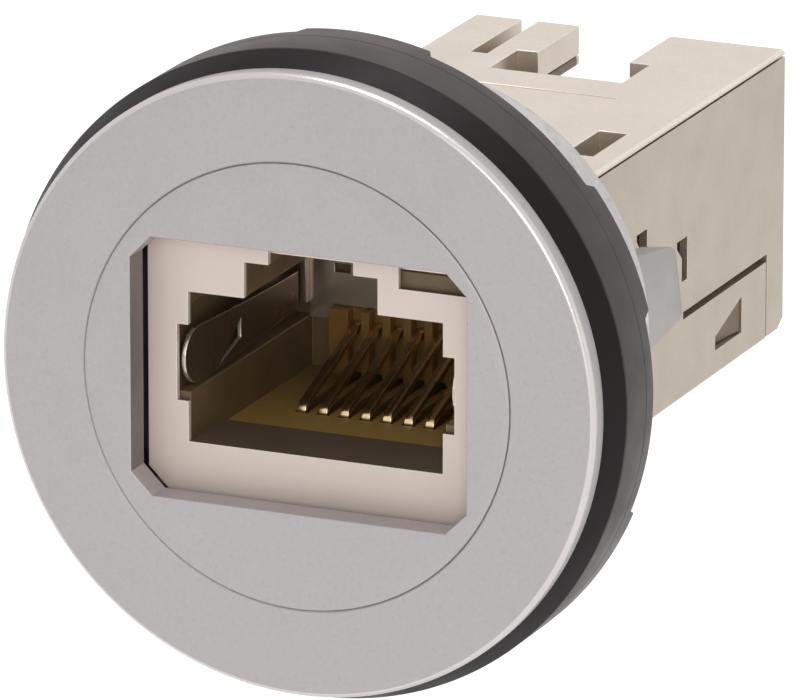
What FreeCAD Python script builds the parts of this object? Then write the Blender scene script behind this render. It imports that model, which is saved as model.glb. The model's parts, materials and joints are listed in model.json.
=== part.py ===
import FreeCAD, Part
import math
import os

# A panel-mount ethernet coupler: two modular sockets back to back in a plated shell, held in a
# 22 mm neck behind a round silver bezel. Sizes are in millimetres. +Y runs into the panel, +Z is
# up (the latch side of both sockets), and y = 0 is the plane of the panel's front.

V = FreeCAD.Vector
AXIS = V(0, 1, 0)

# Clearances
FIT = 0.02               # between pieces that are pressed or glued together
SLIP = 0.05              # between pieces that slide together
WIRE_CLEAR = 0.1         # each side of a contact in its slot
CUT = 1.0                # how far a cutting solid runs past what it cuts
SAME = 0.01              # two lengths that differ by less are taken as equal

# Plated shell
SIDE_WALL = 1.67         # shell and insert, beside the socket's mouth
ROOF_WALL = 0.42         # insert, above the latch channel
UNDER_WALL = 1.81        # insert, below the contacts' tails
BODY_LENGTH = 35.5       # front plate's face to the rear face
PLATE_SETBACK = 2.1      # front plate's face behind the bezel's face
PLATE_T = 0.3
SHEET_T = 0.4            # side walls and bottom
SHEET_EDGE_R = 0.2
TOP_T = 1.35             # cast top cover
TOP_RIM_T = 0.24         # cover's rim over the side walls
TOP_EDGE_R = 0.2
SEAM_GAP = 0.1           # between the cover's rim and the walls

# Neck that passes through the panel, and the widths that step out from it
NECK_CORNER_WALL = 0.765 # neck's wall outside the shell's lower corners
NECK_WALL = 1.55         # neck's wall elsewhere
NECK_LENGTH = 7.9        # behind the panel's front
NECK_BEVEL = 0.3
NECK_RELIEF = 0.35       # depth of the groove under the seal
NECK_PILOT = 1.6         # least length of the plain part that sits in the panel
NECK_END_BAND = 1.3      # plain band between the screw thread and the bevel
THREAD_PITCH = 1.5       # the thread is drawn as plain rings
THREAD_DEPTH = 0.35
NECK_FLANGE_W = 1.55     # flange's reach outside the neck
NECK_FLANGE_T = 0.8
FINGER_INSET = 0.2       # fingers' outer faces, inside the neck's
FINGER_LENGTH = 3.5
FINGER_ROOT_W = 4.3
FINGER_TIP_W = 3.3
FINGER_TIP_R = 0.45
FINGER_ANGLE = 8.2       # degrees from +X towards +Z, and the second one opposite
FINGER_SINK = 1.0        # how far a finger's root runs into the neck

# Head: bezel ring, face disc, black flange and seal
HEAD_HEIGHT = 5.7        # front face to the panel
SKIRT_WALL = 0.88        # flange's skirt, around the neck's flange
SEAL_LIP_W = 1.1         # seal's lip, around the skirt
BEZEL_INSET = 0.6        # ring's side, inside the flange's widest edge
RING_HEIGHT = 0.97       # ring's side, from the face to the flange
RING_EDGE = 0.3          # bevel on the ring's front edge
CONE_HEIGHT = 1.18
WEB_T = 0.8              # flange's web, which carries the front plate
DISC_SEAT_W = 0.44       # flange's ledge under the disc's edge
DISC_T = 1.4
WINDOW_ROOM = 0.46       # window, wider than the shell
WINDOW_X = 0.1           # the window's centre, beside the axis
WINDOW_TOP = 6.0         # window's edges, above and below the axis
WINDOW_BOTTOM = 5.72
WINDOW_CHAMFER = 1.0
LOBES = 6                # pads on the seal's back
LOBE_ANGLE = 24.0        # degrees that each pad covers
LOBE_START = 26.0        # direction of the first pad's middle, from +X towards +Z
LOBE_HEIGHT = 0.55

# Latch keyway and slots in the top cover's rear end
LATCH_X = -0.2           # the latch channel's centre, beside the axis
KEYWAY_NARROW_W = 4.5
KEYWAY_WIDE_W = 6.5
KEYWAY_MOUTH = 4.9       # length of the narrow part, from the rear face
KEYWAY_WIDE_L = 3.3
PRONG_W = 2.05           # tongue of the cover between the keyway and a slot
PRONG_SLOT_W = 0.8
PRONG_SLOT_L = 6.0
GROOVE_W = 0.2
GROOVE_DEPTH = 0.15
GROOVE_SPAN = 8.0
GROOVE_FROM_REAR = 10.7
TOP_HOLE_W = 1.35
TOP_HOLE_L = 4.0
TOP_HOLE_INSET = 1.87    # hole's middle, inside the shell's side
TOP_HOLE_FROM_REAR = 17.9

# Spring tongue cut into the shell's bottom, with a flap up each side, and the side walls' openings
FLAP_TOP = 3.0           # flaps' upper edge, below the axis
FLAP_GAP = 0.35          # slot above a flap
TONGUE_LENGTH = 10.1
TONGUE_GAP = 0.1         # slit at the tongue's free end
COLLAR_LENGTH = 2.0      # closed rear end of the shell, behind the tongue
COLLAR_RISE = 0.14       # collar's bottom, above the tongue's
REAR_CHAMFER_L = 0.65
REAR_CHAMFER_H = 0.4
CATCH_L = 3.2            # latch window in a flap
CATCH_BOTTOM = 5.53      # below the axis
CATCH_FRONT_H = 0.67
CATCH_REAR_H = 1.72
CATCH_FROM_REAR = 5.03
CATCH_PROUD = 0.35       # how far the insert's nose stands into the window
FLAG_PITCH = 4.75        # between the two flag-shaped slots in each side wall
FLAG_DROP = 1.6          # the rear slot lies this much lower
FLAG_W = 1.25
FLAG_H = 2.0
FLAG_STEM_W = 0.65
FLAG_HEAD_H = 0.3
FLAG_FRONT_Z = 2.4       # top of the front slot
FLAG_FROM_REAR = 16.4    # rear edge of the front slot

# Socket, the same at both ends
MOUTH_W = 12.04
MOUTH_TOP = 3.07         # above and below the axis
MOUTH_BOTTOM = 3.73
STEP_W = 6.3             # latch channel, lower and upper step
STEP_RISE = 1.63         # latch channel's roof, above the mouth
TIP_W = 4.0
NOTCH_DEPTH = 0.54       # side notches for the shield springs
NOTCH_TOP = 1.55
NOTCH_BOTTOM = 1.9
PLATE_OVERHANG = 0.25    # front plate, past each side of the shell
FRONT_PLATE_H = 6.0      # above and below the axis
PLATE_CHAMFER = 0.95
PLATE_ROOM = 0.19        # flange's chamber, around the plate's corners
PLATE_CUT_H = 1.63       # height of the dark corner at the front plate's upper right
PLATE_BAR_W = 0.99       # strip of plate between that corner and the latch channel
LIP_L = 3.3              # front plate's bottom lip, folded into the socket
LIP_T = 0.18
FLOOR_DROP = 0.2         # socket floor below the plate's opening
SOCKET_DEPTH = 13.3      # front plate's face to the socket's back
LEDGE_Z = -1.56          # side walls step back above this for the springs
POCKET_TOP = 2.45
POCKET_DEPTH = 0.73      # beside the mouth

# Contacts
CONTACTS = 8
CONTACT_PITCH = 1.02
WIRE_W = 0.42
WIRE_T = 0.3
WIRE_RISE = 18.9         # degrees
BEND_R = 0.35
BEND_DEPTH = 7.1         # plate's face to the middle of the bend
TAIL_DROP = 0.38         # tails' middle, below the socket's floor
WIRE_REACH = 5.75        # bend to the wire's tip, along the socket
COMB_W = 9.66
COMB_DEPTH = 0.9         # comb's teeth and back, forward of the socket's back
COMB_TOP = -0.93
COMB_BACK_T = 0.3
BOARD_T = 1.6

# Shield parts in the socket
SPRING_T = 0.2
SPRING_FRONT_R = 1.3     # a spring's round front end
SPRING_REAR_LOW = -0.68  # rear end's edges, below and above the axis
SPRING_REAR_HIGH = 0.94
SPRING_REAR_ROOM = 1.23  # from a spring's rear end to the back shield's wing
SPRING_FRONT_GAP = 0.24  # from the pocket's wall to the spring's front end, middle and rear end
SPRING_MIDDLE_GAP = 0.6
SPRING_REAR_GAP = 0.74
LANCE_START = 3.2        # three-cornered window in a spring, from the spring's front end
LANCE_L = 1.95
LANCE_LOW = -1.13        # its front corner, and the ends of its rear edge
LANCE_REAR_LOW = -0.48
LANCE_REAR_HIGH = 0.4
SHIELD_T = 0.3
WING_L = 0.7             # back shield's side wings, folded forward
WING_TOP = 2.2
EAR_LOW = -1.6           # the shield's lower edge, beside the comb
SHIELD_HOLE_X = -4.4
SHIELD_HOLE_Z = 0.8
SHIELD_HOLE_W = 0.75
SHIELD_HOLE_H = 0.4

# Places along Y that several pieces share
FACE_Y = -HEAD_HEIGHT
DISC_BACK_Y = FACE_Y + DISC_T
RING_BACK_Y = FACE_Y + RING_HEIGHT
CONE_BACK_Y = RING_BACK_Y + CONE_HEIGHT
PLATE_Y = FACE_Y + PLATE_SETBACK
BODY_Y = PLATE_Y + PLATE_T
WEB_BACK_Y = BODY_Y + WEB_T
SKIRT_BACK_Y = WEB_BACK_Y + NECK_FLANGE_T
REAR_Y = PLATE_Y + BODY_LENGTH
BOARD_MID_Y = (PLATE_Y + REAR_Y) / 2
BOARD_FRONT_Y = BOARD_MID_Y - BOARD_T / 2
SOCKET_BACK_Y = PLATE_Y + SOCKET_DEPTH
SHIELD_BACK_Y = SOCKET_BACK_Y - FIT
SPRING_FRONT_Y = BODY_Y + SLIP
SPRING_REAR_Y = SHIELD_BACK_Y - WING_L - SPRING_REAR_ROOM
SPRING_L = SPRING_REAR_Y - SPRING_FRONT_Y
TONGUE_REAR_Y = REAR_Y - COLLAR_LENGTH

# Heights and widths that the socket gives to the shell around it
FLOOR_Z = -MOUTH_BOTTOM - FLOOR_DROP
TAIL_Z = FLOOR_Z - TAIL_DROP
STEP_TOP = MOUTH_TOP + STEP_RISE
POCKET_W = MOUTH_W + 2 * POCKET_DEPTH
NOTCH_W = MOUTH_W + 2 * NOTCH_DEPTH
SPRING_MID_Z = LEDGE_Z + SLIP + SPRING_FRONT_R
BODY_W = MOUTH_W + 2 * SIDE_WALL
BODY_TOP = STEP_TOP + ROOF_WALL + SLIP + TOP_T
BODY_BOTTOM = -TAIL_Z + WIRE_T / 2 + UNDER_WALL + SLIP + SHEET_T

# Radii and widths that several pieces share
NECK_R = math.hypot(BODY_W / 2 + SLIP, BODY_BOTTOM + SLIP) + NECK_CORNER_WALL
NECK_BORE_R = NECK_R - NECK_WALL
NECK_FLANGE_R = NECK_R + NECK_FLANGE_W
SKIRT_R = NECK_FLANGE_R + FIT + SKIRT_WALL
FLANGE_R = SKIRT_R + SEAL_LIP_W
BEZEL_R = FLANGE_R - BEZEL_INSET
FRONT_PLATE_W = BODY_W + 2 * PLATE_OVERHANG
CHAMBER_R = math.hypot(FRONT_PLATE_W / 2, FRONT_PLATE_H - PLATE_CHAMFER) + PLATE_ROOM
JOINT_R = CHAMBER_R + DISC_SEAT_W
WINDOW_W = BODY_W + WINDOW_ROOM

# Places across the shell that several pieces share
HALF_W = BODY_W / 2
ACROSS = (-HALF_W - CUT, HALF_W + CUT)
INSIDE_W = BODY_W - 2 * SHEET_T
INNER_W = INSIDE_W - 2 * SLIP
WALL_TOP = BODY_TOP - TOP_RIM_T - SEAM_GAP
INNER_TOP = BODY_TOP - TOP_T - SLIP
INNER_BOTTOM = -BODY_BOTTOM + SHEET_T + SLIP


def box(x, y, z):
    """Box between pairs of limits along X, Y and Z."""
    size = [pair[1] - pair[0] for pair in (x, y, z)]
    return Part.makeBox(*size, V(x[0], y[0], z[0]))


def centred(width, middle=0.0):
    """Pair of limits around a middle."""
    return (middle - width / 2, middle + width / 2)


def turned(section):
    """Solid of revolution about Y from (radius, y) points."""
    points = [V(r, y, 0) for r, y in section]
    face = Part.Face(Part.makePolygon(points + points[:1]))
    return face.revolve(V(0, 0, 0), AXIS, 360)


def along_y(outline, y):
    """Prism along Y from (x, z) points, between a pair of limits."""
    points = [V(x_, y[0], z_) for x_, z_ in outline]
    face = Part.Face(Part.makePolygon(points + points[:1]))
    return face.extrude(V(0, y[1] - y[0], 0))


def along_x(outline, x):
    """Prism along X from (y, z) points, between a pair of limits."""
    points = [V(x[0], y_, z_) for y_, z_ in outline]
    face = Part.Face(Part.makePolygon(points + points[:1]))
    return face.extrude(V(x[1] - x[0], 0, 0))


def edges_where(solid, test):
    """Edges of a solid whose middle passes a test."""
    return [e for e in solid.Edges if test(e.CenterOfMass, e)]


def runs_along(edge, direction):
    """Whether a straight edge runs along a direction."""
    if edge.Curve.TypeId != "Part::GeomLine":
        return False
    return abs(edge.Curve.Direction.dot(direction)) > 0.999


def near(a, b):
    """Whether two lengths are the same."""
    return abs(a - b) < SAME


def mirror_x(solid):
    """Copy on the other side of the middle plane."""
    return solid.mirror(V(0, 0, 0), V(1, 0, 0))


def to_rear(solid):
    """Copy of a front socket's piece for the rear socket."""
    return solid.mirror(V(0, BOARD_MID_Y, 0), AXIS)


def chamfered_window(width, x, top, bottom, chamfer):
    """Outline of a rectangle with four cut corners, as (x, z) points."""
    left, right = centred(width, x)
    return [(left + chamfer, bottom), (right - chamfer, bottom), (right, bottom + chamfer),
            (right, top - chamfer), (right - chamfer, top), (left + chamfer, top),
            (left, top - chamfer), (left, bottom + chamfer)]


def bezel_ring():
    """Silver ring with a bevelled rim."""
    inner = JOINT_R + FIT
    return turned([(inner, FACE_Y), (BEZEL_R - RING_EDGE, FACE_Y), (BEZEL_R, FACE_Y + RING_EDGE),
                   (BEZEL_R, RING_BACK_Y), (inner, RING_BACK_Y)])


def face_disc():
    """Silver disc with the window that shows the front socket."""
    radius = JOINT_R - FIT
    disc = turned([(0, FACE_Y), (radius, FACE_Y), (radius, DISC_BACK_Y), (0, DISC_BACK_Y)])
    window = chamfered_window(WINDOW_W, WINDOW_X, WINDOW_TOP, -WINDOW_BOTTOM, WINDOW_CHAMFER)
    return disc.cut(along_y(window, (FACE_Y - CUT, DISC_BACK_Y + CUT)))


def body_passage(y):
    """Room for the shell to pass, with its sliding clearance."""
    return box(centred(BODY_W + 2 * SLIP), y, (-BODY_BOTTOM - SLIP, BODY_TOP + SLIP))


def bezel_carrier():
    """Black flange under the bezel, with the web that the front plate seats on."""
    seat = JOINT_R + FIT
    pocket = NECK_FLANGE_R + FIT
    carrier = turned([(0, BODY_Y), (CHAMBER_R, BODY_Y), (CHAMBER_R, DISC_BACK_Y),
                      (seat, DISC_BACK_Y), (seat, RING_BACK_Y), (BEZEL_R, RING_BACK_Y),
                      (FLANGE_R, CONE_BACK_Y), (SKIRT_R, CONE_BACK_Y), (SKIRT_R, SKIRT_BACK_Y),
                      (pocket, SKIRT_BACK_Y), (pocket, WEB_BACK_Y), (0, WEB_BACK_Y)])
    return carrier.cut(body_passage((BODY_Y - CUT, WEB_BACK_Y + CUT)))


def sector(r, y, middle, angle):
    """Piece of a ring between two radii, around a direction given in degrees."""
    points = [V(r[0], y[0], 0), V(r[1], y[0], 0), V(r[1], y[1], 0), V(r[0], y[1], 0)]
    face = Part.Face(Part.makePolygon(points + points[:1]))
    solid = face.revolve(V(0, 0, 0), AXIS, -angle)
    solid.rotate(V(0, 0, 0), AXIS, -(middle - angle / 2))
    return solid


def panel_seal():
    """Rubber seal that wraps the flange's skirt and presses on the panel with six pads."""
    hole = NECK_R + SLIP
    lip = SKIRT_R + FIT
    front = CONE_BACK_Y + FIT
    shelf = SKIRT_BACK_Y + FIT
    seal = turned([(lip, front), (FLANGE_R, front), (FLANGE_R, 0), (hole, 0), (hole, shelf),
                   (lip, shelf)])
    step = 360.0 / LOBES
    for i in range(LOBES):
        middle = LOBE_START + step * (i + 0.5)
        dip = sector((hole - CUT, FLANGE_R + CUT), (-LOBE_HEIGHT, CUT), middle, step - LOBE_ANGLE)
        seal = seal.cut(dip)
    return seal


def neck_finger(angle):
    """Tapered finger on the neck's rear end."""
    end = NECK_LENGTH
    tip = end + FINGER_LENGTH
    root = end - FINGER_SINK
    outer = NECK_R - FINGER_INSET
    blank = turned([(NECK_BORE_R, root), (outer, root), (outer, tip), (NECK_BORE_R, tip)])
    half_root = FINGER_ROOT_W / 2
    half_tip = FINGER_TIP_W / 2
    outline = [(root, -half_root), (end, -half_root), (tip, -half_tip),
               (tip, half_tip), (end, half_root), (root, half_root)]
    wedge = along_x(outline, (0, NECK_R + CUT))
    corners = edges_where(wedge, lambda c, e: near(c.y, tip) and runs_along(e, V(1, 0, 0)))
    wedge = wedge.makeFillet(FINGER_TIP_R, corners)
    wedge.rotate(V(0, 0, 0), AXIS, -angle)
    return blank.common(wedge)


def thread_rings(front, back):
    """Section of the neck's screw thread, as (radius, y) points, with whole turns up to its back."""
    turns = int((back - front) / THREAD_PITCH)
    crests = [back - THREAD_PITCH * i for i in range(turns, 0, -1)]
    points = []
    for crest in crests:
        points += [(NECK_R, crest), (NECK_R - THREAD_DEPTH, crest + THREAD_PITCH / 2)]
    return points + [(NECK_R, back)]


def neck_sleeve():
    """Grey neck with its inner flange, its screw thread and two rear fingers."""
    groove = NECK_R - NECK_RELIEF
    bevel_y = NECK_LENGTH - NECK_BEVEL
    sleeve = turned([(NECK_BORE_R, WEB_BACK_Y + FIT), (NECK_FLANGE_R, WEB_BACK_Y + FIT),
                     (NECK_FLANGE_R, SKIRT_BACK_Y), (groove, SKIRT_BACK_Y), (groove, 0), (NECK_R, 0)]
                    + thread_rings(NECK_PILOT, bevel_y - NECK_END_BAND)
                    + [(NECK_R, bevel_y), (NECK_R - NECK_BEVEL, NECK_LENGTH),
                       (NECK_BORE_R, NECK_LENGTH)])
    for angle in (FINGER_ANGLE, FINGER_ANGLE + 180):
        sleeve = sleeve.fuse(neck_finger(angle))
    passage = body_passage((WEB_BACK_Y - CUT, NECK_LENGTH + FINGER_LENGTH + CUT))
    return sleeve.removeSplitter().cut(passage)


def plug_room(y):
    """Room for the plug: mouth, two latch steps and side notches, between limits along Y."""
    mouth = box(centred(MOUTH_W), y, (-MOUTH_BOTTOM, MOUTH_TOP))
    step = box(centred(STEP_W, LATCH_X), y, (0, STEP_TOP))
    tip = box(centred(TIP_W, LATCH_X), y, (0, BODY_TOP + CUT))
    notches = box(centred(NOTCH_W), y, (-NOTCH_BOTTOM, NOTCH_TOP))
    return mouth.fuse([step, tip, notches]).removeSplitter()


def front_plate():
    """Nickel plate seen through the window, with a lip folded into the socket."""
    y = (PLATE_Y, BODY_Y)
    through = (PLATE_Y - CUT, BODY_Y + CUT)
    outline = chamfered_window(FRONT_PLATE_W, 0, FRONT_PLATE_H, -FRONT_PLATE_H, PLATE_CHAMFER)
    plate = along_y(outline, y).cut(plug_room(through))
    corner_x = LATCH_X + STEP_W / 2 + PLATE_BAR_W
    corner_z = FRONT_PLATE_H - PLATE_CUT_H
    plate = plate.cut(box((corner_x, FRONT_PLATE_W), through, (corner_z, FRONT_PLATE_H + CUT)))
    lip = box(centred(MOUTH_W - 2 * SLIP), (PLATE_Y, PLATE_Y + LIP_L + PLATE_T),
              (-MOUTH_BOTTOM - LIP_T, -MOUTH_BOTTOM))
    return plate.fuse(lip).removeSplitter()


def rear_plate():
    """Plate that closes the rear end inside the shell's edges."""
    y = (REAR_Y - PLATE_T, REAR_Y)
    bottom = -BODY_BOTTOM + COLLAR_RISE + REAR_CHAMFER_H + SHEET_T + SLIP
    plate = box(centred(INNER_W), y, (bottom, INNER_TOP))
    opening = (REAR_Y - CUT, REAR_Y + CUT)
    plate = plate.cut(plug_room(opening))
    return plate.cut(box(centred(KEYWAY_NARROW_W, LATCH_X), opening, (0, BODY_TOP)))


def keyway(z):
    """Latch keyway, open to the rear: wide where the latch catches, narrow at the mouth."""
    shoulder = REAR_Y - KEYWAY_MOUTH
    wide = box(centred(KEYWAY_WIDE_W, LATCH_X), (shoulder - KEYWAY_WIDE_L, shoulder), z)
    narrow = box(centred(KEYWAY_NARROW_W, LATCH_X), (shoulder - CUT, REAR_Y + CUT), z)
    return wide.fuse(narrow)


def top_cover():
    """Cast cover with the keyway, prongs, groove and side holes; its rim laps the walls."""
    through = (INNER_TOP - CUT, BODY_TOP + CUT)
    rim = box(centred(BODY_W), (BODY_Y, REAR_Y), (BODY_TOP - TOP_RIM_T, BODY_TOP))
    long_edges = edges_where(rim, lambda c, e: near(c.z, BODY_TOP) and runs_along(e, AXIS))
    rim = rim.makeFillet(TOP_EDGE_R, long_edges)
    core = box(centred(INNER_W), (BODY_Y, REAR_Y), (BODY_TOP - TOP_T, BODY_TOP - TOP_RIM_T))
    cover = rim.fuse(core).removeSplitter()
    cover = cover.cut(keyway(through))
    slot_x = LATCH_X - KEYWAY_NARROW_W / 2 - PRONG_W - PRONG_SLOT_W / 2
    slot = box(centred(PRONG_SLOT_W, slot_x), (REAR_Y - PRONG_SLOT_L, REAR_Y + CUT), through)
    groove_y = centred(GROOVE_W, REAR_Y - GROOVE_FROM_REAR)
    groove = box(centred(GROOVE_SPAN, LATCH_X), groove_y, (BODY_TOP - GROOVE_DEPTH, BODY_TOP + CUT))
    hole_x = centred(TOP_HOLE_W, HALF_W - TOP_HOLE_INSET)
    hole = box(hole_x, centred(TOP_HOLE_L, REAR_Y - TOP_HOLE_FROM_REAR), through)
    return cover.cut([slot, groove, hole, mirror_x(hole)])


def flag_slot(rear_edge, top):
    """Flag-shaped slot through the right wall: a wide head and a narrow stem."""
    front = rear_edge - FLAG_W
    stem = rear_edge - FLAG_STEM_W
    shoulder = top - FLAG_HEAD_H
    neck = shoulder - (stem - front)
    outline = [(front, top), (rear_edge, top), (rear_edge, top - FLAG_H), (stem, top - FLAG_H),
               (stem, neck), (front, shoulder)]
    return along_x(outline, (HALF_W - SHEET_T - CUT, HALF_W + CUT))


def sheet_trough():
    """Folded sheet with two sides and a bottom, and rounded lower edges."""
    outer = box(centred(BODY_W), (BODY_Y, REAR_Y), (-BODY_BOTTOM, WALL_TOP))
    low = edges_where(outer, lambda c, e: near(c.z, -BODY_BOTTOM) and runs_along(e, AXIS))
    inner = box(centred(INSIDE_W), (BODY_Y - CUT, REAR_Y + CUT), (-BODY_BOTTOM + SHEET_T, WALL_TOP + CUT))
    return outer.makeFillet(SHEET_EDGE_R, low).cut(inner)


def collar_outline(inset):
    """Collar's lower line from the tongue to the rear face, as (y, z) points, drawn in by a thickness."""
    low = -BODY_BOTTOM + COLLAR_RISE + inset
    return [(TONGUE_REAR_Y, low), (REAR_Y - REAR_CHAMFER_L, low), (REAR_Y, low + REAR_CHAMFER_H)]


def side_shell():
    """Plated sheet with the side walls, the bottom, a rear collar and a spring tongue."""
    outside = [(REAR_Y + CUT, -BODY_BOTTOM + COLLAR_RISE + REAR_CHAMFER_H),
               (REAR_Y + CUT, -BODY_BOTTOM - CUT), (TONGUE_REAR_Y, -BODY_BOTTOM - CUT)]
    ramp = collar_outline(SHEET_T) + collar_outline(0)[::-1]
    shell = sheet_trough().fuse(along_x(ramp, centred(INSIDE_W))).removeSplitter()
    shell = shell.cut(along_x(collar_outline(0) + outside, ACROSS))
    tongue_y = (TONGUE_REAR_Y - TONGUE_LENGTH, TONGUE_REAR_Y)
    slot = box(ACROSS, tongue_y, (-FLAP_TOP, -FLAP_TOP + FLAP_GAP))
    slit = box(ACROSS, (TONGUE_REAR_Y - TONGUE_GAP, TONGUE_REAR_Y), (-BODY_BOTTOM - CUT, -FLAP_TOP))
    shell = shell.cut([slot, slit, along_x(catch_outline(0), ACROSS)])
    front_flag = flag_slot(REAR_Y - FLAG_FROM_REAR, FLAG_FRONT_Z)
    rear_flag = flag_slot(REAR_Y - FLAG_FROM_REAR + FLAG_PITCH, FLAG_FRONT_Z - FLAG_DROP)
    return shell.cut([front_flag, rear_flag, mirror_x(front_flag), mirror_x(rear_flag)])


def catch_outline(margin):
    """Latch window in a flap as (y, z) points, drawn in on all sides by a margin."""
    rear = REAR_Y - CATCH_FROM_REAR - margin
    front = REAR_Y - CATCH_FROM_REAR - CATCH_L + margin
    low = -CATCH_BOTTOM + margin
    return [(front, low), (rear, low), (rear, -CATCH_BOTTOM + CATCH_REAR_H - 2 * margin),
            (front, -CATCH_BOTTOM + CATCH_FRONT_H - margin)]


def contact_places():
    """Places of the contacts across the socket."""
    first = -CONTACT_PITCH * (CONTACTS - 1) / 2
    return [first + CONTACT_PITCH * i for i in range(CONTACTS)]


def socket_insert():
    """Moulded body of the front socket, without what only the rear one has."""
    y = (BODY_Y, BOARD_FRONT_Y)
    insert = box(centred(INNER_W), y, (INNER_BOTTOM, INNER_TOP))
    room = (BODY_Y - CUT, SOCKET_BACK_Y)
    mouth = box(centred(MOUTH_W), room, (FLOOR_Z, MOUTH_TOP))
    pocket = box(centred(POCKET_W), room, (LEDGE_Z, POCKET_TOP))
    step = box(centred(STEP_W, LATCH_X), room, (0, STEP_TOP))
    tip = box(centred(TIP_W, LATCH_X), room, (0, BODY_TOP))
    insert = insert.cut([mouth, pocket, step, tip])
    slot_w = WIRE_W + 2 * WIRE_CLEAR
    slot_bottom = TAIL_Z - WIRE_T / 2 - WIRE_CLEAR
    slot_front = PLATE_Y + BEND_DEPTH - BEND_R - WIRE_T / 2 - WIRE_CLEAR
    for x in contact_places():
        slot = box(centred(slot_w, x), (slot_front, SOCKET_BACK_Y), (slot_bottom, FLOOR_Z + CUT))
        tunnel = box(centred(slot_w, x), (SOCKET_BACK_Y - CUT, BOARD_FRONT_Y + CUT),
                     (slot_bottom, TAIL_Z + WIRE_T / 2 + WIRE_CLEAR))
        insert = insert.cut(slot.fuse(tunnel))
    return insert


def front_insert():
    """Moulded body of the front socket."""
    return socket_insert()


def rear_insert():
    """Moulded body of the rear socket, with noses for the tongue and room for the latch."""
    insert = to_rear(socket_insert()).cut(keyway((0, BODY_TOP + CUT)))
    outline = catch_outline(SLIP)
    front, rear = outline[0][0], outline[1][0]
    side = INNER_W / 2
    root = side - SHEET_T
    plan = [V(root, front, 0), V(side, front, 0), V(side + CATCH_PROUD, rear, 0), V(root, rear, 0)]
    ramp = Part.Face(Part.makePolygon(plan + plan[:1])).extrude(V(0, 0, -BODY_BOTTOM))
    nose = ramp.common(along_x(outline, (0, HALF_W)))
    insert = insert.fuse([nose, mirror_x(nose)]).removeSplitter()
    line = collar_outline(SHEET_T + SLIP)
    step_y = TONGUE_REAR_Y - SLIP
    corner = along_x([(step_y, line[0][1])] + line[1:] + [(REAR_Y, INNER_BOTTOM - CUT),
                                                          (step_y, INNER_BOTTOM - CUT)], centred(BODY_W))
    return insert.cut(corner)


def contact_wire(x):
    """One contact: a tail under the floor, a bend at the front and an arm that rises to the back."""
    rise = math.radians(WIRE_RISE)
    centre_y = PLATE_Y + BEND_DEPTH
    centre_z = TAIL_Z + BEND_R
    arm_end = PLATE_Y + BEND_DEPTH + WIRE_REACH

    def line(radius):
        """Ends and middle of one face's line: tail, bend and arm at a radius of the bend."""
        low = V(x, centre_y, centre_z - radius)
        front = V(x, centre_y - radius, centre_z)
        top = V(x, centre_y - radius * math.sin(rise), centre_z + radius * math.cos(rise))
        tail = V(x, BOARD_FRONT_Y, centre_z - radius)
        reach = (arm_end - top.y) / math.cos(rise)
        tip = top + V(0, math.cos(rise), math.sin(rise)) * reach
        return tail, low, front, top, tip

    o_tail, o_low, o_front, o_top, o_tip = line(BEND_R + WIRE_T / 2)
    i_tail, i_low, i_front, i_top, i_tip = line(BEND_R - WIRE_T / 2)
    outline = [Part.makeLine(o_tail, o_low), Part.Arc(o_low, o_front, o_top).toShape(),
               Part.makeLine(o_top, o_tip), Part.makeLine(o_tip, i_tip), Part.makeLine(i_tip, i_top),
               Part.Arc(i_top, i_front, i_low).toShape(), Part.makeLine(i_low, i_tail),
               Part.makeLine(i_tail, o_tail)]
    wire = Part.Face(Part.Wire(outline)).extrude(V(WIRE_W, 0, 0))
    wire.translate(V(-WIRE_W / 2, 0, 0))
    return wire


def front_contacts():
    """The eight contacts of the front socket."""
    return Part.makeCompound([contact_wire(x) for x in contact_places()])


def front_comb():
    """Comb that parts the contacts' tips at the socket's back."""
    back = SOCKET_BACK_Y - FIT
    front = back - COMB_DEPTH
    comb = box(centred(COMB_W), (front, back), (FLOOR_Z + FIT, COMB_TOP))
    slot_w = WIRE_W + 2 * WIRE_CLEAR
    slot_y = (front - CUT, back - COMB_BACK_T)
    slots = [box(centred(slot_w, x), slot_y, (FLOOR_Z - CUT, COMB_TOP + CUT))
             for x in contact_places()]
    return comb.cut(slots)


def front_back_shield():
    """Metal plate over the comb at the socket's back, with a small hole and two side wings."""
    back = SHIELD_BACK_Y
    y = (back - SHIELD_T, back)
    low = COMB_TOP + FIT
    main = box(centred(MOUTH_W - 2 * FIT), y, (low, MOUTH_TOP - FIT))
    ear = box((COMB_W / 2 + FIT, MOUTH_W / 2 - FIT), y, (EAR_LOW, low + CUT))
    channel = box(centred(STEP_W - 2 * FIT, LATCH_X), y, (low, STEP_TOP - FIT))
    side = MOUTH_W / 2 - FIT
    wing = box((side, side + SHIELD_T), (back - WING_L, back), (low, WING_TOP))
    hole = box(centred(SHIELD_HOLE_W, SHIELD_HOLE_X), (y[0] - CUT, y[1] + CUT),
               centred(SHIELD_HOLE_H, SHIELD_HOLE_Z))
    sides = [wing, mirror_x(wing), ear, mirror_x(ear)]
    return main.fuse([channel] + sides).removeSplitter().cut(hole)


def spring_outline(x):
    """Side view of a shield spring, extruded across it: round in front, narrower at the rear."""
    front, back = SPRING_FRONT_Y, SPRING_REAR_Y
    centre = front + SPRING_FRONT_R
    top = SPRING_MID_Z + SPRING_FRONT_R
    bottom = SPRING_MID_Z - SPRING_FRONT_R
    nose = Part.Arc(V(x[0], centre, top), V(x[0], front, SPRING_MID_Z), V(x[0], centre, bottom))
    points = [V(x[0], centre, bottom), V(x[0], back, SPRING_REAR_LOW),
              V(x[0], back, SPRING_REAR_HIGH), V(x[0], centre, top)]
    edges = [nose.toShape()] + [Part.makeLine(p, q) for p, q in zip(points, points[1:])]
    return Part.Face(Part.Wire(edges)).extrude(V(x[1] - x[0], 0, 0))


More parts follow.
